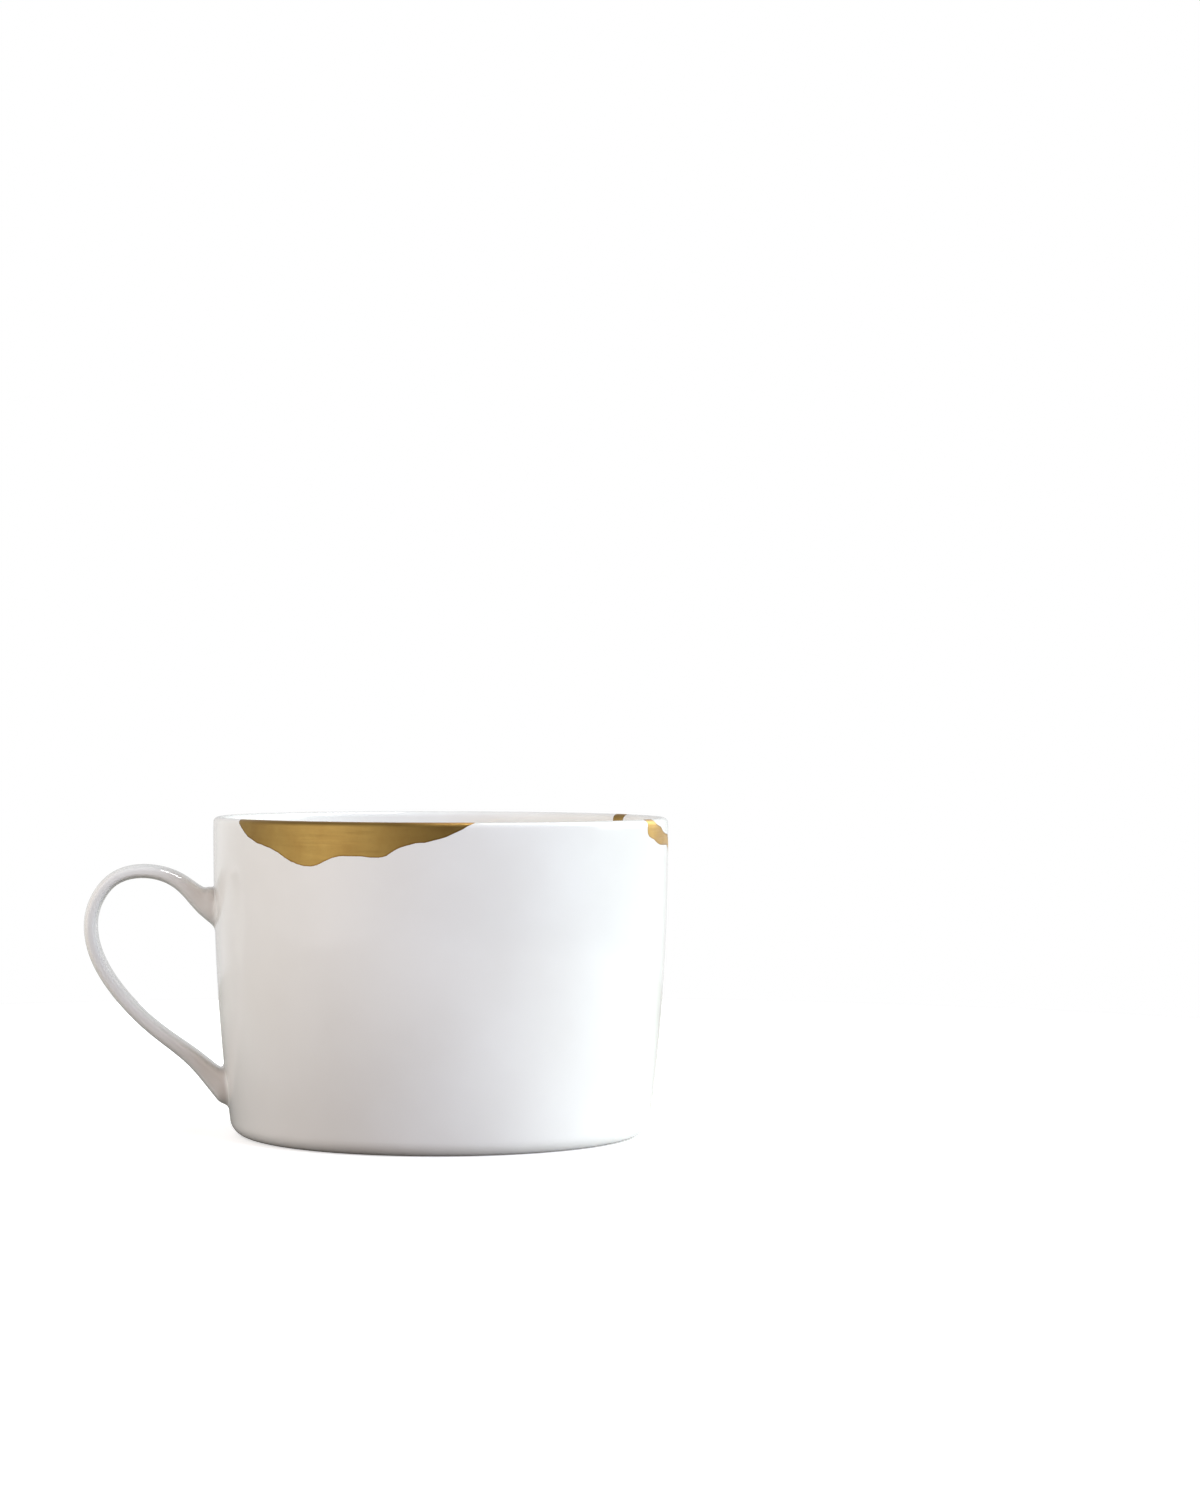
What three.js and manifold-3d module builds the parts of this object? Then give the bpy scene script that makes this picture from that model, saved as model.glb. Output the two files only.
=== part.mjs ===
// Kintsugi tea cup: a low porcelain cup with a nearly straight wall and a thin ear-shaped handle.
// Millimetres, +Z up. The cup stands on its foot ring in the plane z = 0, the handle points to -X,
// and the origin lies under the middle of the whole outline. Cup and handle are one fired solid,
// and the gold repairs lie flush in the glaze, so they add no form.

import * as THREE from 'three';
import { mergeVertices } from 'three/addons/utils/BufferGeometryUtils.js';
import Module from 'manifold-3d';

// Body sizes
const cupHeight = 57;
const rimRadius = 41;
const wallDrawIn = 3.5;
const drawInPower = 2.25;
const rimWall = 2;
const footWall = 3;
const floorThickness = 3.5;
const outerCorner = 3;
const innerCorner = 9;

// Foot ring sizes
const footWidth = 3.6;
const footRecess = 1.5;
const footChamfer = 1;

// Handle sizes: how far its outer face stands out from the rim radius, how far the top of its
// loop lies under the rim, and how high the middle of the lower root sits
const handleReach = 22.9;
const handleBelowRim = 8.6;
const lowerRootHeight = 8.9;
const strapThickness = 2.42;
const strapWidth = 8.6;

// Root flare: how much wider each side of the strap grows at the wall, over what length,
// with a small fillet in the last bit, and how far out the section starts to turn to the wall
const rootFlareAlongWall = 2.75;
const rootFlareAcross = 1.1;
const rootFlareLength = 2.7;
const rootFillet = 0.5;
const rootTurnLength = 6;

// The middle line of the strap from inside the upper wall, over the loop, to inside the lower
// wall, as shares of its reach outward and of its rise from the lower root to the top of the loop
const strapRoute = [
  [-0.109, 0.785],
  [0, 0.837],
  [0.109, 0.868],
  [0.291, 0.956],
  [0.545, 1],
  [0.782, 0.974],
  [0.932, 0.889],
  [1, 0.767],
  [0.959, 0.617],
  [0.805, 0.461],
  [0.564, 0.308],
  [0.314, 0.194],
  [0.123, 0.106],
  [-0.059, 0],
  [-0.164, -0.047],
];

// Fineness of the faceted surfaces
const turnSteps = 72;
const wallSteps = 9;
const cornerSteps = 4;
const rimSteps = 6;
const strapSteps = 44;
const sectionSteps = 16;
const sectionPower = 3;
const trimMargin = 5;

const glaze = { color: 0xe9e5dc, roughness: 0.16, metalness: 0 };

const wasm = await Module();
wasm.setup();

// How much of the draw-in is spent at height z: none at the rim, all of it at the table
function drawIn(z) {
  const share = THREE.MathUtils.clamp(1 - z / cupHeight, 0, 1);
  return Math.pow(share, drawInPower);
}

function outerRadius(z) {
  return rimRadius - wallDrawIn * drawIn(z);
}

function wallThickness(z) {
  return rimWall + (footWall - rimWall) * drawIn(z);
}

function innerRadius(z) {
  return outerRadius(z) - wallThickness(z);
}

// Angle by which a wall leans out from the vertical at height z
function lean(radiusAt, z) {
  const probe = 0.01;
  return Math.atan((radiusAt(z + probe) - radiusAt(z - probe)) / (2 * probe));
}

function arc(centreX, centreZ, radius, start, end, steps) {
  const points = [];
  for (let i = 0; i <= steps; i++) {
    const angle = start + ((end - start) * i) / steps;
    const x = centreX + radius * Math.cos(angle);
    const z = centreZ + radius * Math.sin(angle);
    points.push(new THREE.Vector2(x, z));
  }
  return points;
}

// A corner between a level floor and a leaning wall: an arc that is tangent to both,
// given from the floor to the wall
function corner(radiusAt, floorHeight, radius) {
  const angle = lean(radiusAt, floorHeight + radius);
  const endHeight = floorHeight + radius * (1 - Math.sin(angle));
  const centreX = radiusAt(endHeight) - radius * Math.cos(angle);
  const centreZ = floorHeight + radius;
  return arc(centreX, centreZ, radius, -Math.PI / 2, -angle, cornerSteps);
}

// Points strictly between two heights on a wall
function wallPoints(radiusAt, low, high) {
  const points = [];
  for (let i = 1; i < wallSteps; i++) {
    const z = low + ((high - low) * i) / wallSteps;
    points.push(new THREE.Vector2(radiusAt(z), z));
  }
  return points;
}

function turned(profile) {
  const geometry = new THREE.LatheGeometry(profile, turnSteps);
  return geometry.rotateX(Math.PI / 2);
}

function toSolid(geometry) {
  const bare = geometry.clone();
  bare.deleteAttribute('normal');
  bare.deleteAttribute('uv');
  const merged = mergeVertices(bare);
  return new wasm.Manifold(
    new wasm.Mesh({
      numProp: 3,
      vertProperties: new Float32Array(merged.attributes.position.array),
      triVerts: new Uint32Array(merged.index.array),
    }),
  );
}

function toGeometry(solid) {
  const { vertProperties, triVerts } = solid.getMesh();
  const geometry = new THREE.BufferGeometry();
  geometry.setAttribute('position', new THREE.BufferAttribute(vertProperties, 3));
  geometry.setIndex(new THREE.BufferAttribute(triVerts, 1));
  geometry.computeVertexNormals();
  return geometry;
}

// The hollow body as one closed profile: under the foot, up the outside, over the rounded rim,
// down the inside and back to the middle of the floor
function bodySolid() {
  const insideFloor = footRecess + floorThickness;
  const rimRound = rimWall / 2;
  const rimCentreX = rimRadius - rimRound;
  const rimCentreZ = cupHeight - rimRound;
  const outsideCorner = corner(outerRadius, 0, outerCorner);
  const insideCorner = corner(innerRadius, insideFloor, innerCorner);
  const outsideStart = outsideCorner[cornerSteps].y;
  const insideEnd = insideCorner[cornerSteps].y;
  const ringInside = outsideCorner[0].x - footWidth;
  const profile = [
    new THREE.Vector2(0, footRecess),
    new THREE.Vector2(ringInside - footChamfer, footRecess),
    new THREE.Vector2(ringInside, 0),
    ...outsideCorner,
    ...wallPoints(outerRadius, outsideStart, rimCentreZ),
    ...arc(rimCentreX, rimCentreZ, rimRound, 0, Math.PI, rimSteps),
    ...wallPoints(innerRadius, insideEnd, rimCentreZ).reverse(),
    ...insideCorner.reverse(),
    new THREE.Vector2(0, insideFloor),
  ];
  return toSolid(turned(profile));
}

// Everything inside the middle of the wall, which the handle's roots must not enter
function coreSolid() {
  const profile = [new THREE.Vector2(0, -trimMargin)];
  profile.push(new THREE.Vector2(outerRadius(0) - footWall / 2, -trimMargin));
  for (let i = 0; i <= wallSteps; i++) {
    const z = (cupHeight * i) / wallSteps;
    profile.push(new THREE.Vector2(outerRadius(z) - wallThickness(z) / 2, z));
  }
  profile.push(new THREE.Vector2(rimRadius - rimWall / 2, cupHeight + trimMargin));
  profile.push(new THREE.Vector2(0, cupHeight + trimMargin));
  return toSolid(turned(profile));
}

function strapCurve() {
  const reach = handleReach - strapThickness / 2;
  const top = cupHeight - handleBelowRim - strapThickness / 2;
  const rise = top - lowerRootHeight;
  const points = strapRoute.map(
    ([out, up]) => new THREE.Vector3(-rimRadius - out * reach, 0, lowerRootHeight + up * rise),
  );
  return new THREE.CatmullRomCurve3(points, false, 'catmullrom', 0.5);
}

// One section of the strap: a rounded rectangle across the middle line, which flares and turns
// parallel to the wall as it comes near
function strapSection(curve, t) {
  const centre = curve.getPoint(t);
  const tangent = curve.getTangent(t);
  const standOff = Math.max(-centre.x - outerRadius(centre.z), 0);
  const square = new THREE.Vector2(tangent.z, -tangent.x);
  const wallLean = lean(outerRadius, centre.z);
  const alongWall = new THREE.Vector2(-Math.sin(wallLean), Math.cos(wallLean));
  if (alongWall.dot(square) < 0) {
    alongWall.negate();
  }
  const turn = Math.exp(-standOff / rootTurnLength);
  const thick = square.lerp(alongWall, turn).normalize();
  const flare = Math.exp(-standOff / rootFlareLength);
  const filletDepth = Math.max(rootFillet - standOff, 0);
  const fillet = rootFillet - Math.sqrt(rootFillet ** 2 - filletDepth ** 2);
  const halfThickness = strapThickness / 2 + rootFlareAlongWall * flare + fillet;
  const halfWidth = strapWidth / 2 + rootFlareAcross * flare + fillet;
  const ring = [];
  for (let i = 0; i < sectionSteps; i++) {
    const angle = (2 * Math.PI * i) / sectionSteps;
    const across = halfWidth * roundedSide(Math.cos(angle));
    const out = halfThickness * roundedSide(Math.sin(angle));
    ring.push([centre.x + out * thick.x, across, centre.z + out * thick.y]);
  }
  return ring;
}

function roundedSide(value) {
  return Math.sign(value) * Math.abs(value) ** (2 / sectionPower);
}

function strapSolid() {
  const curve = strapCurve();
  const vertices = [];
  const triangles = [];
  for (let i = 0; i <= strapSteps; i++) {
    vertices.push(...strapSection(curve, i / strapSteps));
  }
  for (let i = 0; i < strapSteps; i++) {
    for (let j = 0; j < sectionSteps; j++) {
      const a = i * sectionSteps + j;
      const b = i * sectionSteps + ((j + 1) % sectionSteps);
      triangles.push(a, b + sectionSteps, b);
      triangles.push(a, a + sectionSteps, b + sectionSteps);
    }
  }
  const last = strapSteps * sectionSteps;
  for (let j = 1; j < sectionSteps - 1; j++) {
    triangles.push(0, j, j + 1);
    triangles.push(last, last + j + 1, last + j);
  }
  const geometry = new THREE.BufferGeometry();
  geometry.setAttribute('position', new THREE.Float32BufferAttribute(vertices.flat(), 3));
  geometry.setIndex(triangles);
  return toSolid(geometry);
}

function teaCup() {
  const handle = strapSolid().subtract(coreSolid());
  const geometry = toGeometry(bodySolid().add(handle));
  const mesh = new THREE.Mesh(geometry, new THREE.MeshStandardMaterial(glaze));
  mesh.name = 'tea_cup';
  geometry.computeBoundingBox();
  mesh.position.x = -geometry.boundingBox.getCenter(new THREE.Vector3()).x;
  return mesh;
}

const cup = new THREE.Group();
cup.add(teaCup());

export default cup;
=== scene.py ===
import math

import bmesh
import bpy
import numpy as np
from mathutils import Matrix, Vector, noise


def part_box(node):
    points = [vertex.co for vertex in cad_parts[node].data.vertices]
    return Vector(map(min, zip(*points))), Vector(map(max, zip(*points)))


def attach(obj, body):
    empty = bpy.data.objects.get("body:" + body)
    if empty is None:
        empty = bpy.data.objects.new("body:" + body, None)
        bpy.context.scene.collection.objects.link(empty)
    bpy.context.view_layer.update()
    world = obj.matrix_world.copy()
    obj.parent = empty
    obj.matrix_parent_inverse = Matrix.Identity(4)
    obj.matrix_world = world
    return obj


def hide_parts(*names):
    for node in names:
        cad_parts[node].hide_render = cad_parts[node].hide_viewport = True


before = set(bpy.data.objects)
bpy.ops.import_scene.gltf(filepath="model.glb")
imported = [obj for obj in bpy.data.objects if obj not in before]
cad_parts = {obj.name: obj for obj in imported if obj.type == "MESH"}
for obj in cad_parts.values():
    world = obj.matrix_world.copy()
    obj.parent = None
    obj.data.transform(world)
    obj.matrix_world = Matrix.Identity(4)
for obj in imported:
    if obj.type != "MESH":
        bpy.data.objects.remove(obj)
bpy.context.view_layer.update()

# A porcelain tea cup with gold repairs, dressed over its CAD solid. Metres, +Z up, and the
# handle points to -X.
MM = 0.001

# The cup's main sizes, read from the CAD solid
LOW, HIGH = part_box("tea_cup")
HEIGHT = HIGH[2]
RIM_RADIUS = (HIGH[1] - LOW[1]) / 2
AXIS_X = HIGH[0] - RIM_RADIUS
REACH = AXIS_X - LOW[0] - RIM_RADIUS

# Body sizes that the box doesn't give, as in the CAD source
WALL_DRAW_IN = 3.5 * MM
DRAW_IN_POWER = 2.25
RIM_WALL = 2 * MM
FOOT_WALL = 3 * MM
FLOOR_THICKNESS = 3.5 * MM
OUTER_CORNER = 3 * MM
INNER_CORNER = 9 * MM
FOOT_WIDTH = 3.6 * MM
FOOT_RECESS = 1.5 * MM
FOOT_SLOPE = 1.6 * MM
BARE_INSET = 0.3 * MM

# Handle sizes
STRAP_THICKNESS = 2.42 * MM
STRAP_WIDTH = 8.6 * MM
STRAP_TOP = HEIGHT - 8.6 * MM
LOWER_ROOT_HEIGHT = 8.9 * MM
FLARE_ALONG_WALL = 2.75 * MM
FLARE_ACROSS = 1.1 * MM
FLARE_LENGTH = 2.7 * MM
TURN_LENGTH = 6 * MM
SECTION_POWER = 3

# Where the strap hands over to its root fillet, the fillet's foot on the wall, and how far the
# fillet keeps the directions of the strap and of the wall, as a share of its length
FILLET_STAND_OFF = 1.3 * MM
ROOT_HALF_HEIGHT = 4.3 * MM
ROOT_HALF_WIDTH = 6.1 * MM
UPPER_ROOT_CENTRE = 40.4 * MM
LOWER_ROOT_CENTRE = 8.6 * MM
FILLET_PULL = 0.42

# The middle line of the strap as shares of its reach and of its rise, from the upper wall
# over the loop to the lower wall
STRAP_ROUTE = [
    (-0.109, 0.785),
    (0, 0.837),
    (0.109, 0.868),
    (0.291, 0.956),
    (0.545, 1),
    (0.782, 0.974),
    (0.932, 0.889),
    (1, 0.767),
    (0.959, 0.617),
    (0.805, 0.461),
    (0.564, 0.308),
    (0.314, 0.194),
    (0.123, 0.106),
    (-0.059, 0),
    (-0.164, -0.047),
]

# Fineness of the mesh
COLUMNS = 360
OUTSIDE_ROWS = 82
INSIDE_ROWS = 58
RIM_ROWS = 14
OUTER_CORNER_ROWS = 8
INNER_CORNER_ROWS = 12
FLAT_ROWS = 5
SLOPE_ROWS = 10
STRAP_STATIONS = 150
STRAP_PROBES = 3000
FILLET_ROWS = 8
PATCH_CELLS = 26
PATCH_RINGS = 6
FLOOR_SIDES = 96

# The photograph's front direction, turned from the cup's own: the handle points a little
# towards the camera
VIEW_TURN = math.radians(3)

# Gold repairs. Each place on the wall is (azimuth in degrees, depth below the rim in mm):
# azimuth 0 is the photograph's front and grows to the right, and depth is negative inside.
# A chip is a closed outline, and a seam is a line with its width in mm at each point.
FRONT_CHIP = [
    (-60, 0), (-59.5, 0.6), (-58, 1.4), (-56.5, 2.2), (-55, 2.9), (-53, 3.4), (-50.8, 4.05),
    (-48.6, 4.35), (-46.2, 4.7), (-43.8, 5.3), (-42.2, 5.8), (-40.8, 6.35), (-38.8, 6.9),
    (-36.8, 7.4), (-34.9, 7.6), (-32.8, 7.65), (-31.2, 7.5), (-29.8, 7.05), (-28.3, 6.5),
    (-26.9, 6.1), (-24.5, 5.8), (-21.7, 5.75), (-19, 5.8), (-17.2, 6), (-15, 5.95), (-13.7, 5.8),
    (-12.4, 5.25), (-10.7, 4.55), (-8.5, 3.9), (-6.4, 3.5), (-3.9, 3.4), (-1.8, 3), (0.7, 2.5),
    (2.8, 1.9), (4.5, 1.3), (6.2, 0.6), (8.1, 0),
    (6, -1.6), (0, -2.6), (-6, -3.4), (-13, -4.3), (-18, -5), (-27, -4.8), (-36, -6), (-44, -4.4),
    (-52, -3), (-57.5, -1.6),
]
RIGHT_CHIP = [
    (61.6, 0), (61.9, 0.8), (61.8, 1.9), (62.2, 2.8), (63.6, 3.2), (66, 3.6), (68.4, 4.2),
    (70.8, 4.6), (75, 4.7), (80.1, 4.8), (81.9, 2.9), (77, 2.7), (73.8, 2.2), (72.2, 1.6),
    (70.7, 1.2), (68.8, 1), (67.2, 0.6), (66.4, 0), (65.8, -2), (65, -4.5), (62.4, -4.3),
    (61.7, -2),
]
RIGHT_SEAM = [
    (60, -9.5, 0.9), (62, -7, 1.2), (63.6, -4, 1.8), (64, -2, 2.4), (66, 2, 2), (73, 3.5, 2),
    (80, 3.85, 1.9), (85, 5.4, 1.8), (91, 9, 1.6), (97, 13, 1.4), (104, 17.6, 1.4),
    (112, 22, 1.3), (124, 26, 1.2),
]
BACK_SEAM = [
    (128.6, -13.5, 0.9), (127.8, -11.5, 1.2), (127.2, -8.5, 1.4), (124.6, -4.5, 2),
    (122.5, -1.8, 2.9), (121.9, -0.5, 3.5), (121.5, 0.5, 3.6), (119, 2.6, 2.6),
    (118.6, 6.5, 1.8), (117.4, 12, 1.5), (121, 19, 1.4), (124, 26, 1.4), (122.5, 33, 1.3),
    (123.5, 38, 1),
]

# The gold's edge is a little ragged, and a seam wanders once it is clear of the rim
RAGGED_SIZE = 1.6 * MM
RAGGED_DEPTH = 0.09 * MM
WANDER_SIZE = 5 * MM
WANDER_DEPTH = 0.9 * MM
WANDER_START = 4.5 * MM
WANDER_FULL = 9 * MM

# The cup's materials, in the order of its slots
PORCELAIN, GOLD, BARE = range(3)

# Colours of the glaze, the gold and the bare clay. The gold's crest colour is painted shade, for
# gold that faces upwards over the rim.
GLAZE_WARM = (0.80, 0.785, 0.755)
GLAZE_CLEAR = (0.835, 0.825, 0.80)
GOLD_DULL = (0.46, 0.272, 0.078)
GOLD_BRIGHT = (0.545, 0.348, 0.104)
GOLD_EDGE = (0.29, 0.155, 0.04)
GOLD_CREST_PAINTED_SHADE = (0.32, 0.18, 0.055)
CLAY = (0.74, 0.71, 0.65)
CLAY_DIRT = (0.62, 0.58, 0.51)

# The table, with its colour as the camera sees it, and what it throws back on the cup from far
# away, from beside the cup and from under its foot. A pair is for the shaded side and for the
# window's side. The thrown-back colours are painted light and shade: darker than the table
# the camera sees, with painted shade beside and under the foot that is deepest on the shaded
# side, and painted light on the window's side.
FLOOR_RADIUS = 300 * MM
FLOOR_SEEN = (0.9, 0.9, 0.9)
FLOOR_FAR = (0.5, 0.475, 0.44)
FLOOR_BESIDE = ((0.06, 0.055, 0.05), (0.75, 0.73, 0.7))
FLOOR_UNDER = ((0.2, 0.185, 0.17), (0.95, 0.94, 0.93))

# The room: the light of its walls as (azimuth in degrees, strength), and of its ceiling
ROOM_WALLS = [
    (-180, 0.65), (-150, 0.78), (-120, 0.38), (-90, 0.75), (-60, 1.33), (-30, 0.58), (0, 0.175),
    (40, 0.1), (90, 0.11), (140, 0.9), (180, 0.65),
]
ROOM_CEILING = 0.255


def draw_in(z):
    """How much of the wall's draw-in is spent at height z: none at the rim, all at the foot."""
    share = min(max(1 - z / HEIGHT, 0), 1)
    return share**DRAW_IN_POWER


def outer_radius(z):
    return RIM_RADIUS - WALL_DRAW_IN * draw_in(z)


def inner_radius(z):
    return outer_radius(z) - RIM_WALL - (FOOT_WALL - RIM_WALL) * draw_in(z)


def lean(radius_at, z):
    """The angle by which a wall leans out from the vertical at height z."""
    probe = 0.01 * MM
    return math.atan((radius_at(z + probe) - radius_at(z - probe)) / (2 * probe))


def arc(centre_r, centre_z, radius, start, end, steps):
    points = []
    for i in range(steps + 1):
        angle = start + (end - start) * i / steps
        points.append((centre_r + radius * math.cos(angle), centre_z + radius * math.sin(angle)))
    return points


def corner(radius_at, floor_height, radius, steps):
    """An arc from a level floor to a leaning wall, tangent to both."""
    angle = lean(radius_at, floor_height + radius)
    end_height = floor_height + radius * (1 - math.sin(angle))
    centre_r = radius_at(end_height) - radius * math.cos(angle)
    return arc(centre_r, floor_height + radius, radius, -math.pi / 2, -angle, steps)


def between(start, end, steps):
    """Values strictly between two ends."""
    return [start + (end - start) * i / steps for i in range(1, steps)]


def body_profile():
    """Rows (r, z) from the middle of the underside, up the outside, over the rim and down to
    the middle of the inside floor. Returns them with the numbers of the rows that the rest
    of the script asks for."""
    inside_floor = FOOT_RECESS + FLOOR_THICKNESS
    rim_round = RIM_WALL / 2
    outside = corner(outer_radius, 0, OUTER_CORNER, OUTER_CORNER_ROWS)
    inside = corner(inner_radius, inside_floor, INNER_CORNER, INNER_CORNER_ROWS)
    ring_inside = outside[0][0] - FOOT_WIDTH
    slope_start = ring_inside - FOOT_SLOPE
    rows = [(r, FOOT_RECESS) for r in between(0, slope_start, FLAT_ROWS)]
    for i in range(SLOPE_ROWS + 1):
        share = i / SLOPE_ROWS
        height = FOOT_RECESS * (1 + math.cos(math.pi * share)) / 2
        rows.append((slope_start + (FOOT_SLOPE + BARE_INSET) * share, height))
    marks = {"bare_start": len(rows) - 1}
    rows += [(r, 0) for r in between(rows[-1][0], outside[0][0], FLAT_ROWS)]
    rows += outside
    marks["bare_end"] = len(rows) - OUTER_CORNER_ROWS + 1
    marks["wall_start"] = len(rows) - 1
    rim_low = HEIGHT - rim_round
    rows += [(outer_radius(z), z) for z in between(outside[-1][1], rim_low, OUTSIDE_ROWS)]
    rim = arc(RIM_RADIUS - rim_round, rim_low, rim_round, 0, math.pi, RIM_ROWS)
    marks["crest"] = len(rows) + RIM_ROWS // 2
    rows += rim
    rows += [(inner_radius(z), z) for z in between(rim_low, inside[-1][1], INSIDE_ROWS)]
    rows += inside[::-1]
    marks["inside_end"] = len(rows) - 1
    rows += [(r, inside_floor) for r in between(inside[0][0], 0, FLAT_ROWS)]
    return rows, marks


def natural_spline(points, samples):
    """A smooth curve through points at equal steps of its parameter: positions and tangents
    at the parameters asked for."""
    p = np.array(points, float)
    n = len(p)
    system = np.zeros((n, n))
    right = np.zeros_like(p)
    system[0, 0] = system[-1, -1] = 1
    for i in range(1, n - 1):
        system[i, i - 1 : i + 2] = (1, 4, 1)
        right[i] = 6 * (p[i - 1] - 2 * p[i] + p[i + 1])
    bend = np.linalg.solve(system, right)
    u = np.clip(np.asarray(samples, float), 0, 1) * (n - 1)
    i = np.minimum(u.astype(int), n - 2)
    t = (u - i)[:, None]
    s = 1 - t
    a, b, ba, bb = p[i], p[i + 1], bend[i], bend[i + 1]
    place = s * a + t * b + ((s**3 - s) * ba + (t**3 - t) * bb) / 6
    tangent = b - a + ((1 - 3 * s**2) * ba + (3 * t**2 - 1) * bb) / 6
    return place, tangent / np.linalg.norm(tangent, axis=1)[:, None]


def strap_rings(count):
    """Rings of the strap between its two root fillets, as an array of stations by points,
    first in the handle's plane as (distance from the cup's axis, across, height)."""
    reach = REACH - STRAP_THICKNESS / 2
    rise = STRAP_TOP - STRAP_THICKNESS / 2 - LOWER_ROOT_HEIGHT
    route = [(RIM_RADIUS + out * reach, LOWER_ROOT_HEIGHT + up * rise) for out, up in STRAP_ROUTE]
    fine = np.linspace(0, 1, STRAP_PROBES)
    place, _ = natural_spline(route, fine)
    off = np.array([r - outer_radius(z) for r, z in place])
    clear = fine[off > FILLET_STAND_OFF]
    samples = np.linspace(clear[0], clear[-1], STRAP_STATIONS)
    place, tangent = natural_spline(route, samples)
    angles = 2 * math.pi * (np.arange(count) + 0.5) / count
    power = 2 / SECTION_POWER
    cosine = np.sign(np.cos(angles)) * np.abs(np.cos(angles)) ** power
    sine = np.sign(np.sin(angles)) * np.abs(np.sin(angles)) ** power
    rings = np.zeros((STRAP_STATIONS, count, 3))
    for i, ((r, z), direction) in enumerate(zip(place, tangent)):
        stand_off = r - outer_radius(z)
        square = np.array([-direction[1], direction[0]])
        wall_lean = lean(outer_radius, z)
        along_wall = np.array([math.sin(wall_lean), math.cos(wall_lean)])
        along_wall *= np.sign(along_wall @ square)
        turn = math.exp(-stand_off / TURN_LENGTH)
        thick = square * (1 - turn) + along_wall * turn
        thick /= np.linalg.norm(thick)
        flare = math.exp(-stand_off / FLARE_LENGTH)
        half_thickness = STRAP_THICKNESS / 2 + FLARE_ALONG_WALL * flare
        half_width = STRAP_WIDTH / 2 + FLARE_ACROSS * flare
        rings[i, :, 0] = r + half_thickness * sine * thick[0]
        rings[i, :, 1] = half_width * cosine
        rings[i, :, 2] = z + half_thickness * sine * thick[1]
    return rings


def on_wall(across, z):
    """The point of the outer wall at a distance across from the handle's plane, and height z."""
    angle = math.pi - across / RIM_RADIUS
    r = outer_radius(z)
    return np.array([AXIS_X + r * math.cos(angle), r * math.sin(angle), z])


def root_outline(ring_sides, centre_z):
    """Where the root fillet meets the wall: a rounded outline as (across, z) pairs, with one
    point for each point of a strap section, in the same directions from the middle."""
    outline = []
    for side, up in ring_sides:
        length = math.hypot(side / ROOT_HALF_WIDTH, up / ROOT_HALF_HEIGHT)
        outline.append((side / length, centre_z + up / length))
    return outline


def matched(directions, loop):
    """Turns a loop of (across, z) pairs, and reverses it if need be, so that each pair lies in
    about the direction of its partner, and returns the order."""
    count = len(loop)
    centre = np.mean(loop, axis=0)
    unit = np.array(loop) - centre
    unit /= np.linalg.norm(unit, axis=1)[:, None]
    want = np.array(directions, float)
    want /= np.linalg.norm(want, axis=1)[:, None]
    best = None
    for order in (np.arange(count), np.arange(count)[::-1]):
        for shift in range(count):
            trial = np.roll(order, shift)
            miss = ((unit[trial] - want) ** 2).sum()
            if best is None or miss < best[0]:
                best = (miss, trial)
    return best[1]


class MeshParts:
    """Vertices, faces and the marks that the surfaces keep."""

    def __init__(self):
        self.vertices = []
        self.faces = []
        self.bare = []

    def add(self, point):
        self.vertices.append(tuple(point))
        return len(self.vertices) - 1

    def face(self, *corners, bare=False):
        self.faces.append(corners)
        self.bare.append(bare)

    def bridge(self, first, second, flip):
        count = len(first)
        for k in range(count):
            n = (k + 1) % count
            quad = (first[k], first[n], second[n], second[k])
            self.face(*(quad[::-1] if flip else quad))


def build_body(parts):
    """The turned body with a square window in its grid for each root of the handle. Returns
    the windows' edge loops as lists of (vertex, across, z)."""
    rows, marks = body_profile()
    centre_column = COLUMNS // 2
    half = PATCH_CELLS // 2
    first_column = centre_column - half
    lower_start = marks["wall_start"] + 1
    heights = [z for _, z in rows[: marks["crest"]]]
    middle = min(range(lower_start, len(heights)), key=lambda i: abs(heights[i] - UPPER_ROOT_CENTRE))
    windows = [middle - half, lower_start]
    inside_window = set()
    for start in windows:
        for i in range(start + 1, start + PATCH_CELLS):
            for j in range(first_column + 1, first_column + PATCH_CELLS):
                inside_window.add((i, j))
    grid = {}
    for i, (r, z) in enumerate(rows):
        for j in range(COLUMNS):
            if (i, j) not in inside_window:
                angle = 2 * math.pi * j / COLUMNS
                grid[i, j] = parts.add((AXIS_X + r * math.cos(angle), r * math.sin(angle), z))
    for i in range(len(rows) - 1):
        bare = marks["bare_start"] <= i < marks["bare_end"]
        for j in range(COLUMNS):
            k = (j + 1) % COLUMNS
            in_columns = first_column <= j < first_column + PATCH_CELLS
            if in_columns and any(start <= i < start + PATCH_CELLS for start in windows):
                continue
            parts.face(grid[i, j], grid[i, k], grid[i + 1, k], grid[i + 1, j], bare=bare)
    under = parts.add((AXIS_X, 0, rows[0][1]))
    floor = parts.add((AXIS_X, 0, rows[-1][1]))
    last = len(rows) - 1
    for j in range(COLUMNS):
        k = (j + 1) % COLUMNS
        parts.face(under, grid[0, k], grid[0, j])
        parts.face(floor, grid[last, j], grid[last, k])
    loops = []
    for start in windows:
        end = start + PATCH_CELLS
        last_column = first_column + PATCH_CELLS
        cells = [(start, j) for j in range(first_column, last_column)]
        cells += [(i, last_column) for i in range(start, end)]
        cells += [(end, j) for j in range(last_column, first_column, -1)]
        cells += [(i, first_column) for i in range(end, start, -1)]
        loop = []
        for i, j in cells:
            across = (math.pi - 2 * math.pi * j / COLUMNS) * RIM_RADIUS
            loop.append((grid[i, j], across, rows[i][1]))
        loops.append(loop)
    return rows, marks, grid, loops


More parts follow.
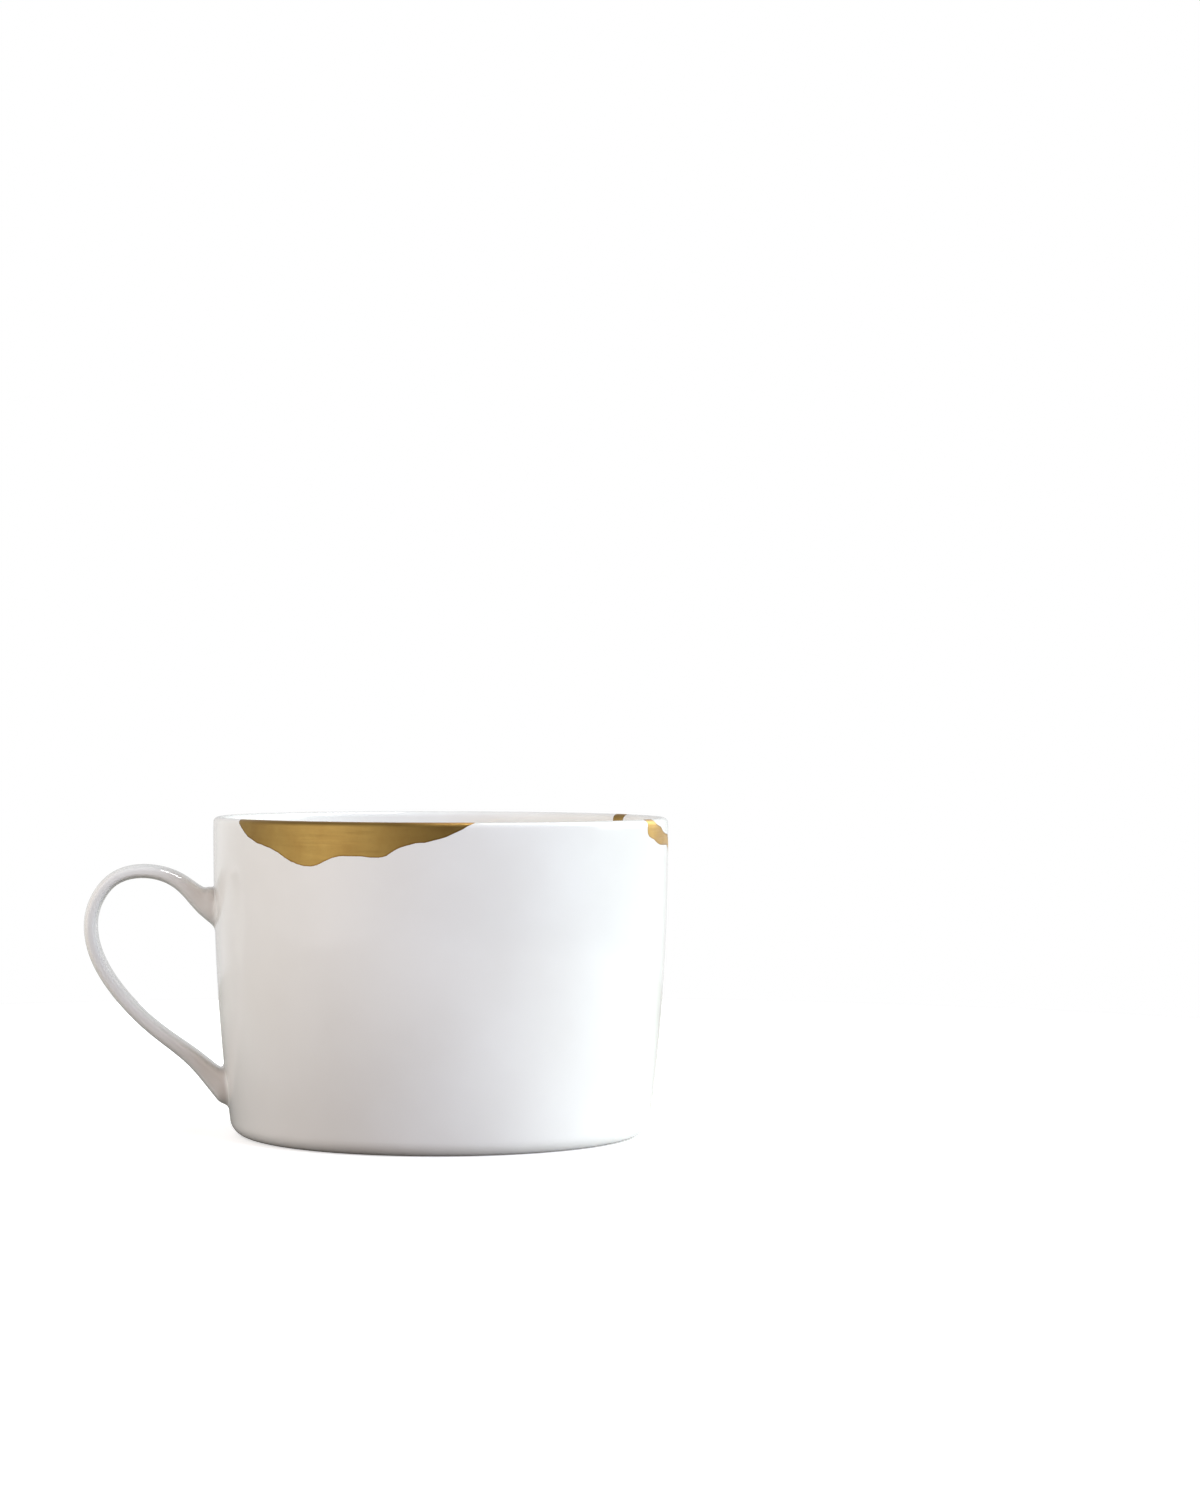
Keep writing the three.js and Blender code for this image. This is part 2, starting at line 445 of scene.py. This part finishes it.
def build_root(parts, ring, ring_before, ring_vertices, loop, centre_z, flip):
    """The fillet from the last ring of the strap down to the wall, and the rings on the wall
    from there to the window's edge."""
    middle = ring.mean(axis=0)
    sides = [(p[1], p[2] - middle[2]) for p in ring]
    outline = root_outline(sides, centre_z)
    order = matched(sides, [(across, z) for _, across, z in loop])
    edge = [loop[i] for i in order]
    start = [np.array([AXIS_X - p[0], p[1], p[2]]) for p in ring]
    before = [np.array([AXIS_X - p[0], p[1], p[2]]) for p in ring_before]
    probe = 0.1 * MM
    control = []
    for k, (across, z) in enumerate(outline):
        foot = on_wall(across, z)
        away = np.array([across, z - centre_z])
        away *= probe / np.linalg.norm(away)
        outward = on_wall(across + away[0], z + away[1]) - foot
        outward /= np.linalg.norm(outward)
        inward = start[k] - before[k]
        inward /= np.linalg.norm(inward)
        pull = FILLET_PULL * np.linalg.norm(foot - start[k])
        control.append((start[k], start[k] + inward * pull, foot - outward * pull, foot))
    last = ring_vertices
    for i in range(1, FILLET_ROWS + 1):
        t = i / FILLET_ROWS
        s = 1 - t
        row = []
        for a, b, c, d in control:
            row.append(parts.add(s**3 * a + 3 * s * s * t * b + 3 * s * t * t * c + t**3 * d))
        parts.bridge(last, row, flip)
        last = row
    for i in range(1, PATCH_RINGS + 1):
        share = i / PATCH_RINGS
        if i == PATCH_RINGS:
            row = [vertex for vertex, _, _ in edge]
        else:
            row = []
            for (across, z), (_, edge_across, edge_z) in zip(outline, edge):
                w = across + (edge_across - across) * share
                h = z + (edge_z - z) * share
                row.append(parts.add(on_wall(w, h)))
        parts.bridge(last, row, flip)
        last = row


def build_handle(parts, loops):
    rings = strap_rings(len(loops[0]))
    rows = []
    for ring in rings:
        rows.append([parts.add((AXIS_X - p[0], p[1], p[2])) for p in ring])
    for first, second in zip(rows, rows[1:]):
        parts.bridge(first, second, flip=True)
    build_root(parts, rings[0], rings[1], rows[0], loops[0], UPPER_ROOT_CENTRE, flip=False)
    build_root(parts, rings[-1], rings[-2], rows[-1], loops[1], LOWER_ROOT_CENTRE, flip=True)


def make_cup():
    parts = MeshParts()
    rows, marks, grid, loops = build_body(parts)
    build_handle(parts, loops)
    mesh = bpy.data.meshes.new("kintsugi_cup")
    mesh.from_pydata(parts.vertices, [], parts.faces)
    for polygon, bare in zip(mesh.polygons, parts.bare):
        polygon.use_smooth = True
        polygon.material_index = BARE if bare else PORCELAIN
    cup = bpy.data.objects.new("kintsugi_cup", mesh)
    bpy.context.scene.collection.objects.link(cup)
    return cup, rows, marks, grid


def on_band(azimuth, depth):
    """A place of the wall on a flat band: (distance along the rim, depth below the rim)."""
    return math.radians(azimuth) * RIM_RADIUS, depth * MM


def distance_to_edges(points, starts, ends):
    """For each point, its distance to each edge and how far along the edge the nearest spot is."""
    smallest = 1e-12
    along = ends - starts
    offset = points[:, None, :] - starts[None, :, :]
    share = np.clip((offset * along).sum(2) / np.maximum((along**2).sum(1), smallest), 0, 1)
    gap = offset - share[:, :, None] * along
    return np.sqrt((gap**2).sum(2)), share


def chip_depth_in(points, outline):
    """How deep each point of the band lies inside a closed outline, negative outside it."""
    corners = np.array([on_band(*place) for place in outline])
    nexts = np.roll(corners, -1, axis=0)
    distance, _ = distance_to_edges(points, corners, nexts)
    inside = np.zeros(len(points), bool)
    x, y = points[:, 0], points[:, 1]
    for (ax, ay), (bx, by) in zip(corners, nexts):
        crosses = (ay > y) != (by > y)
        reach = ax + (y - ay) * (bx - ax) / (by - ay if by != ay else 1)
        inside ^= crosses & (x < reach)
    return np.where(inside, 1, -1) * distance.min(axis=1)


def seam_depth_in(points, line):
    """How deep each point of the band lies inside a seam, negative outside it."""
    corners = np.array([on_band(azimuth, depth) for azimuth, depth, _ in line])
    half = np.array([width for _, _, width in line]) * MM / 2
    distance, share = distance_to_edges(points, corners[:-1], corners[1:])
    return (half[:-1] + share * (half[1:] - half[:-1]) - distance).max(axis=1)


def wander(along, down):
    """How far a seam strays sideways from its line at a place on the band."""
    noise_level = 0.5
    share = (abs(down) - WANDER_START) / (WANDER_FULL - WANDER_START)
    stray = WANDER_DEPTH * min(max(share, 0), 1)
    place = Vector((along / WANDER_SIZE, down / WANDER_SIZE, noise_level))
    return stray * noise.noise(place), stray * noise.noise(place.zxy)


def gold_field(rows, marks, grid, count):
    """For each vertex, how deep it lies inside the gold, negative outside. Only the wall's own
    grid can be gold."""
    far_outside = -1.0
    field = np.full(count, far_outside)
    keys = [key for key in grid if marks["wall_start"] < key[0] < marks["inside_end"]]
    band = np.zeros((len(keys), 2))
    for n, (i, j) in enumerate(keys):
        azimuth = 2 * math.pi * j / COLUMNS + math.pi / 2 + VIEW_TURN
        azimuth = (azimuth + math.pi) % (2 * math.pi) - math.pi
        side = 1 if i <= marks["crest"] else -1
        band[n] = (azimuth * RIM_RADIUS, side * (HEIGHT - rows[i][1]))
    depth = np.maximum(chip_depth_in(band, FRONT_CHIP), chip_depth_in(band, RIGHT_CHIP))
    wandered = band + [wander(along, down) for along, down in band]
    for seam in (RIGHT_SEAM, BACK_SEAM):
        depth = np.maximum(depth, seam_depth_in(wandered, seam))
    for n, (key, (along, down)) in enumerate(zip(keys, band)):
        ragged = noise.noise(Vector((along / RAGGED_SIZE, down / RAGGED_SIZE, 0)))
        field[grid[key]] = depth[n] + ragged * RAGGED_DEPTH
    return field


def split_at_gold(mesh, field):
    """Cuts the faces along the line where the field is zero and gives the gold faces their
    own material."""
    nearest_cut = 0.1
    shape = bmesh.new()
    shape.from_mesh(mesh)
    layer = shape.verts.layers.float.new("gold_depth")
    shape.verts.ensure_lookup_table()
    for vertex, value in zip(shape.verts, field):
        vertex[layer] = value
    crossing = [e for e in shape.edges if (e.verts[0][layer] > 0) != (e.verts[1][layer] > 0)]
    faces = {face for edge in crossing for face in edge.link_faces}
    cuts = set()
    for edge in crossing:
        first, second = edge.verts
        share = first[layer] / (first[layer] - second[layer])
        share = min(max(share, nearest_cut), 1 - nearest_cut)
        _, made = bmesh.utils.edge_split(edge, first, share)
        made[layer] = 0
        cuts.add(made)
    for face in faces:
        ends = [v for v in face.verts if v in cuts]
        if len(ends) == 2:
            bmesh.utils.face_split(face, ends[0], ends[1])
    for face in shape.faces:
        if sum(v[layer] for v in face.verts) > 0:
            face.material_index = GOLD
    shape.to_mesh(mesh)
    shape.free()


cup, rows, marks, grid = make_cup()
split_at_gold(cup.data, gold_field(rows, marks, grid, len(cup.data.vertices)))


class Nodes:
    """A short way to write a material's nodes."""

    def __init__(self, name):
        self.material = bpy.data.materials.new(name)
        self.material.use_nodes = True
        self.tree = self.material.node_tree
        self.shader = self.tree.nodes["Principled BSDF"]

    def node(self, kind, **settings):
        made = self.tree.nodes.new(kind)
        for key, value in settings.items():
            setattr(made, key, value)
        return made

    def link(self, source, target):
        self.tree.links.new(source, target)

    def coordinates(self):
        return self.node("ShaderNodeTexCoord").outputs["Object"]

    def noise(self, size, detail=3, roughness=0.5, stretch=(1, 1, 1)):
        """Soft noise whose blotches are about size metres across, stretched along the axes."""
        mapping = self.node("ShaderNodeMapping")
        mapping.inputs["Scale"].default_value = [1 / s for s in stretch]
        self.link(self.coordinates(), mapping.inputs["Vector"])
        texture = self.node("ShaderNodeTexNoise")
        texture.inputs["Scale"].default_value = 1 / size
        texture.inputs["Detail"].default_value = detail
        texture.inputs["Roughness"].default_value = roughness
        self.link(mapping.outputs["Vector"], texture.inputs["Vector"])
        return texture.outputs["Fac"]

    def ranged(self, value, low, high, to_low=0, to_high=1):
        """Maps a value from one range to another, without passing its ends."""
        made = self.node("ShaderNodeMapRange")
        sockets = ("From Min", "From Max", "To Min", "To Max")
        for socket, number in zip(sockets, (low, high, to_low, to_high)):
            made.inputs[socket].default_value = number
        self.link(value, made.inputs["Value"])
        return made.outputs["Result"]

    def blend(self, value, first, second):
        """A colour between two, by a value from 0 to 1. Either end may be a colour or an output."""
        made = self.node("ShaderNodeMix", data_type="RGBA")
        self.link(value, made.inputs["Factor"])
        for socket, end in (("A", first), ("B", second)):
            target = [s for s in made.inputs if s.name == socket and s.type == "RGBA"][0]
            if isinstance(end, tuple):
                target.default_value = (*end, 1)
            else:
                self.link(end, target)
        return [s for s in made.outputs if s.type == "RGBA"][0]

    def bump(self, height, distance, strength=1.0, before=None):
        made = self.node("ShaderNodeBump")
        made.inputs["Distance"].default_value = distance
        made.inputs["Strength"].default_value = strength
        self.link(height, made.inputs["Height"])
        if before is not None:
            self.link(before, made.inputs["Normal"])
        return made.outputs["Normal"]


def porcelain():
    """White glazed porcelain: a clear glossy glaze that pools in faint waves over a body with
    a little warmth in it."""
    n = Nodes("glazed_porcelain")
    shader = n.shader
    clouds = n.ranged(n.noise(size=22 * MM), low=0.35, high=0.65)
    n.link(n.blend(clouds, GLAZE_WARM, GLAZE_CLEAR), shader.inputs["Base Color"])
    wear = n.noise(size=9 * MM, detail=4)
    roughness = n.ranged(wear, low=0.3, high=0.7, to_low=0.07, to_high=0.14)
    n.link(roughness, shader.inputs["Roughness"])
    shader.inputs["IOR"].default_value = 1.52
    shader.inputs["Coat Weight"].default_value = 0.4
    shader.inputs["Coat Roughness"].default_value = 0.03
    waves = n.bump(n.noise(size=14 * MM, detail=2), distance=0.25 * MM, strength=0.35)
    fine = n.noise(size=0.9 * MM, detail=2)
    grain = n.bump(fine, distance=0.01 * MM, strength=0.12, before=waves)
    n.link(grain, shader.inputs["Normal"])
    return n.material


def gold():
    """Burnished gold over lacquer: a satin metal with soft cloudy wear, fine polishing streaks
    that run round the cup, and a slightly darker, duller line along its edge. Gold that faces
    upwards, as over the rim's crest, is darkened with painted shade."""
    n = Nodes("gold_repair")
    shader = n.shader
    edge = n.node("ShaderNodeAttribute", attribute_name="gold_depth").outputs["Fac"]
    clouds = n.ranged(n.noise(size=6 * MM, detail=4, roughness=0.6), low=0.3, high=0.7)
    metal = n.blend(clouds, GOLD_DULL, GOLD_BRIGHT)
    inner = n.ranged(edge, low=0, high=0.3 * MM)
    sound = n.blend(inner, GOLD_EDGE, metal)
    # Painted shade: the more the gold faces upwards, the nearer its colour comes to a darker gold.
    facing = n.node("ShaderNodeSeparateXYZ")
    n.link(n.node("ShaderNodeTexCoord").outputs["Normal"], facing.inputs["Vector"])
    crest = n.ranged(facing.outputs["Z"], low=0.5, high=0.9, to_high=0.6)
    n.link(n.blend(crest, sound, GOLD_CREST_PAINTED_SHADE), shader.inputs["Base Color"])
    shader.inputs["Metallic"].default_value = 1
    streaks = n.noise(size=1.2 * MM, roughness=0.6, stretch=(6, 6, 0.35))
    roughness = n.ranged(streaks, low=0.25, high=0.75, to_low=0.3, to_high=0.46)
    n.link(roughness, shader.inputs["Roughness"])
    grain = n.bump(streaks, distance=0.02 * MM, strength=0.5)
    dents = n.noise(size=3.5 * MM, detail=2)
    hammered = n.bump(dents, distance=0.12 * MM, strength=0.5, before=grain)
    n.link(hammered, shader.inputs["Normal"])
    return n.material


def bare_clay():
    """The unglazed band of the foot ring, ground flat: fine matte grain with faint dirt."""
    n = Nodes("bare_foot")
    shader = n.shader
    dirt = n.ranged(n.noise(size=3 * MM, detail=5, roughness=0.65), low=0.35, high=0.7)
    n.link(n.blend(dirt, CLAY, CLAY_DIRT), shader.inputs["Base Color"])
    shader.inputs["Roughness"].default_value = 0.85
    grain = n.bump(n.noise(size=0.35 * MM), distance=0.03 * MM, strength=0.6)
    n.link(grain, shader.inputs["Normal"])
    return n.material


for material in (porcelain(), gold(), bare_clay()):
    cup.data.materials.append(material)

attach(cup, "root")
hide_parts("tea_cup")


def make_camera():
    """The photograph's view: nearly level, from the side with the large gold repair. Angles are
    in radians, and the focal length was measured in pixels of a picture 1500 high."""
    distance = 600.1 * MM
    eye_height = 72.3 * MM
    yaw = -0.0477
    pitch = 0.0053
    roll = -0.0031
    focal_pixels = 3315
    picture_pixels = 1500
    forward = Vector(
        (-math.sin(yaw) * math.cos(pitch), math.cos(yaw) * math.cos(pitch), -math.sin(pitch))
    )
    right = Vector((math.cos(yaw), math.sin(yaw), 0))
    down = forward.cross(right)
    rolled_right = right * math.cos(roll) + down * math.sin(roll)
    rolled_down = down * math.cos(roll) - right * math.sin(roll)
    axes = Matrix((rolled_right, -rolled_down, -forward)).transposed()
    turn = Matrix.Rotation(-VIEW_TURN, 3, "Z")
    place = turn @ Vector((0, -distance, eye_height))
    data = bpy.data.cameras.new("photo_view")
    data.lens = focal_pixels * data.sensor_width / picture_pixels
    camera = bpy.data.objects.new("photo_view", data)
    camera.matrix_world = Matrix.Translation(place + Vector((AXIS_X, 0, 0))) @ (turn @ axes).to_4x4()
    bpy.context.scene.collection.objects.link(camera)
    bpy.context.scene.camera = camera


def make_floor():
    """A round pale table. Seen directly it is nearly white, with a soft shadow. The light that
    it throws back on the cup changes with the distance from the cup's axis and towards +X: its
    colour there is painted shade near the foot and painted light towards +X."""
    mesh = bpy.data.meshes.new("floor")
    turns = [2 * math.pi * i / FLOOR_SIDES for i in range(FLOOR_SIDES)]
    corners = [(FLOOR_RADIUS * math.cos(a), FLOOR_RADIUS * math.sin(a), 0) for a in turns]
    mesh.from_pydata(corners, [], [range(FLOOR_SIDES)])
    floor = bpy.data.objects.new("floor", mesh)
    floor.location.x = AXIS_X
    bpy.context.scene.collection.objects.link(floor)
    n = Nodes("pale_floor")
    seen = n.node("ShaderNodeLightPath").outputs["Is Camera Ray"]
    away = n.node("ShaderNodeVectorMath", operation="LENGTH")
    n.link(n.coordinates(), away.inputs[0])
    far = n.ranged(away.outputs["Value"], low=50 * MM, high=200 * MM)
    sideways = n.node("ShaderNodeSeparateXYZ")
    n.link(n.coordinates(), sideways.inputs["Vector"])
    window_side = n.ranged(sideways.outputs["X"], low=-15 * MM, high=45 * MM)
    # Painted shade beside and under the foot, turning into painted light on the window's side.
    beside = n.blend(window_side, *FLOOR_BESIDE)
    under = n.blend(window_side, *FLOOR_UNDER)
    clear = n.ranged(away.outputs["Value"], low=39 * MM, high=52 * MM)
    close = n.blend(clear, under, beside)
    thrown_back = n.blend(far, close, FLOOR_FAR)
    n.link(n.blend(seen, thrown_back, FLOOR_SEEN), n.shader.inputs["Base Color"])
    glow = n.ranged(seen, low=0, high=1, to_high=0.5)
    n.link(glow, n.shader.inputs["Emission Strength"])
    n.shader.inputs["Emission Color"].default_value = (1, 1, 1, 1)
    n.shader.inputs["Roughness"].default_value = 0.6
    mesh.materials.append(n.material)


def add_softbox(
    name, azimuth, elevation, distance, size, power, colour, mirrored=True, lights=True
):
    """A soft light that looks at the cup from a direction round the photograph's front, in
    degrees, metres and watts. It may be kept out of the cup's reflections, or show in them only."""
    light = bpy.data.lights.new(name, "AREA")
    light.shape = "RECTANGLE"
    light.size, light.size_y = size
    light.energy = power
    light.color = colour
    turn = math.radians(azimuth) - VIEW_TURN
    rise = math.radians(elevation)
    direction = Vector(
        (math.sin(turn) * math.cos(rise), -math.cos(turn) * math.cos(rise), math.sin(rise))
    )
    target = Vector((AXIS_X, 0, HEIGHT / 2))
    lamp = bpy.data.objects.new(name, light)
    lamp.location = target + direction * distance
    lamp.rotation_euler = (-direction).to_track_quat("-Z", "Y").to_euler()
    lamp.visible_camera = False
    lamp.visible_glossy = mirrored
    lamp.visible_diffuse = lights
    bpy.context.scene.collection.objects.link(lamp)


def make_world():
    """A soft room: a ring of light around the horizon that fades into an even ceiling, between
    two heights on the unit sphere. What the camera sees directly is plain white."""
    walls_end = 0.3
    ceiling_start = 0.9
    middle = 0.5
    world = bpy.data.worlds.new("studio")
    bpy.context.scene.world = world
    world.use_nodes = True
    tree = world.node_tree
    background = tree.nodes["Background"]
    background.inputs["Color"].default_value = (1, 1, 1, 1)
    direction = tree.nodes.new("ShaderNodeTexCoord").outputs["Generated"]
    split = tree.nodes.new("ShaderNodeSeparateXYZ")
    tree.links.new(direction, split.inputs["Vector"])
    forward = tree.nodes.new("ShaderNodeMath")
    forward.operation = "MULTIPLY"
    tree.links.new(split.outputs["Y"], forward.inputs[0])
    forward.inputs[1].default_value = -1
    azimuth = tree.nodes.new("ShaderNodeMath")
    azimuth.operation = "ARCTAN2"
    tree.links.new(split.outputs["X"], azimuth.inputs[0])
    tree.links.new(forward.outputs["Value"], azimuth.inputs[1])
    turn = tree.nodes.new("ShaderNodeMapRange")
    turn.inputs["From Min"].default_value = -math.pi
    turn.inputs["From Max"].default_value = math.pi
    tree.links.new(azimuth.outputs["Value"], turn.inputs["Value"])
    ramp = tree.nodes.new("ShaderNodeValToRGB")
    stops = ramp.color_ramp.elements
    while len(stops) < len(ROOM_WALLS):
        stops.new(middle)
    for stop, (angle, strength) in zip(stops, ROOM_WALLS):
        stop.position = (angle + 180) / 360
        stop.color = (strength, strength, strength, 1)
    tree.links.new(turn.outputs["Result"], ramp.inputs["Fac"])
    height = tree.nodes.new("ShaderNodeMapRange")
    height.inputs["From Min"].default_value = walls_end
    height.inputs["From Max"].default_value = ceiling_start
    tree.links.new(split.outputs["Z"], height.inputs["Value"])
    room = tree.nodes.new("ShaderNodeMix")
    tree.links.new(height.outputs["Result"], room.inputs["Factor"])
    tree.links.new(ramp.outputs["Color"], room.inputs["A"])
    room.inputs["B"].default_value = ROOM_CEILING
    seen = tree.nodes.new("ShaderNodeMix")
    rays = tree.nodes.new("ShaderNodeLightPath").outputs["Is Camera Ray"]
    tree.links.new(rays, seen.inputs["Factor"])
    tree.links.new(room.outputs["Result"], seen.inputs["A"])
    seen.inputs["B"].default_value = 1
    tree.links.new(seen.outputs["Result"], background.inputs["Strength"])


make_camera()
make_floor()
make_world()
add_softbox(
    "right_window", azimuth=110, elevation=28, distance=1.2, size=(1.3, 1.2), power=13,
    colour=(0.93, 1, 0.88),
)
add_softbox(
    "window_glint", azimuth=120, elevation=55, distance=1.4, size=(0.3, 1.2), power=26,
    colour=(1, 1, 1), lights=False,
)
add_softbox(
    "front_right", azimuth=50, elevation=30, distance=1.4, size=(0.9, 0.9), power=17.3,
    colour=(0.74, 0.836, 1), mirrored=False,
)
add_softbox(
    "left_low", azimuth=-85, elevation=12, distance=1.4, size=(1.0, 0.6), power=8.9,
    colour=(1, 0.99, 0.97), mirrored=False,
)
add_softbox(
    "front_fill", azimuth=-15, elevation=25, distance=1.4, size=(1.0, 0.8), power=2.2,
    colour=(1, 0.5, 0.33), mirrored=False,
)
bpy.context.scene.view_settings.view_transform = "Standard"
